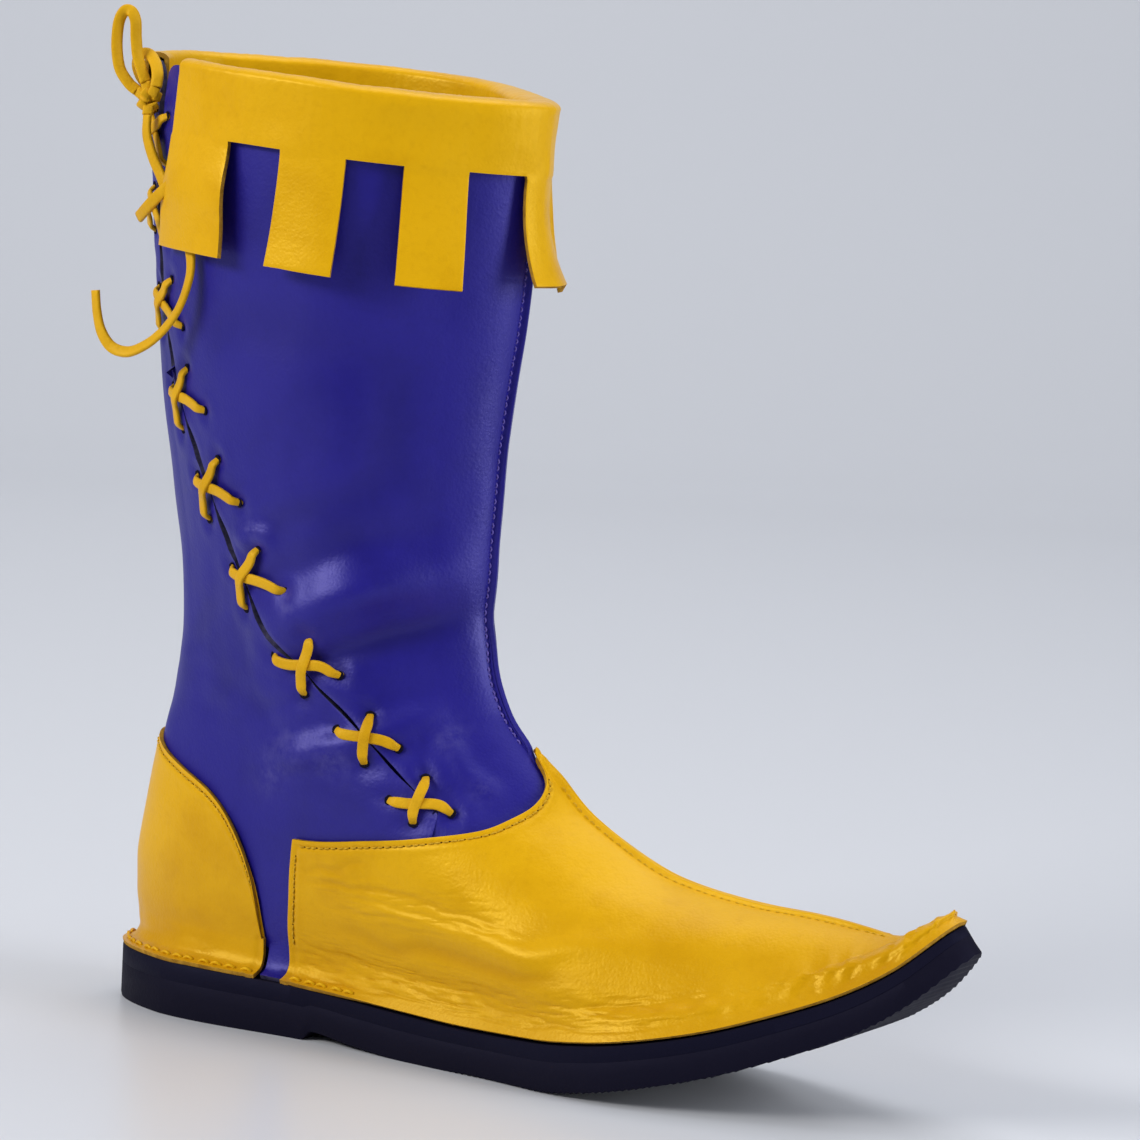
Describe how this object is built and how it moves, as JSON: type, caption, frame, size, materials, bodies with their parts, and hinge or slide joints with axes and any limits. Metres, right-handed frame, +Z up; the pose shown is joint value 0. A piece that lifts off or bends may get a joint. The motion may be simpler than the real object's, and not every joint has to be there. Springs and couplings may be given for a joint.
{
  "type": "medieval boot",
  "caption": "Calf-high medieval leather boot for the right foot: pointed upturned toe, low rubber sole, diagonal laced slit and a turned-down tabbed cuff.",
  "frame": {"origin": "on the floor under the middle of the heel", "axes": "+X towards the toe, +Y to the inner side of the right foot, +Z up"},
  "size_m": [0.3283, 0.1158, 0.3429],
  "materials": {
    "indigo_leather": "smooth dyed leather, soft gloss",
    "yellow_leather": "smooth dyed leather, soft gloss",
    "sole_rubber": "matt black rubber with a fine tread",
    "insole_leather": "plain unfinished leather",
    "lace_leather": "flat cut thong"
  },
  "bodies": {
    "root": {"outsole": "sole_rubber", "insole": "insole_leather", "upper": "indigo_leather", "vamp": "yellow_leather", "heel_counter": "yellow_leather", "cuff": "yellow_leather", "lace_cross_01": "lace_leather", "lace_cross_02": "lace_leather", "lace_cross_03": "lace_leather", "lace_cross_04": "lace_leather", "lace_cross_05": "lace_leather", "lace_cross_06": "lace_leather", "lace_cross_07": "lace_leather", "lace_cross_08": "lace_leather", "lace_cross_09": "lace_leather", "lace_knot": "lace_leather", "lace_loop_tall": "lace_leather", "lace_loop_small": "lace_leather", "lace_end_short": "lace_leather", "lace_end_long": "lace_leather"}
  },
  "joints": []
}
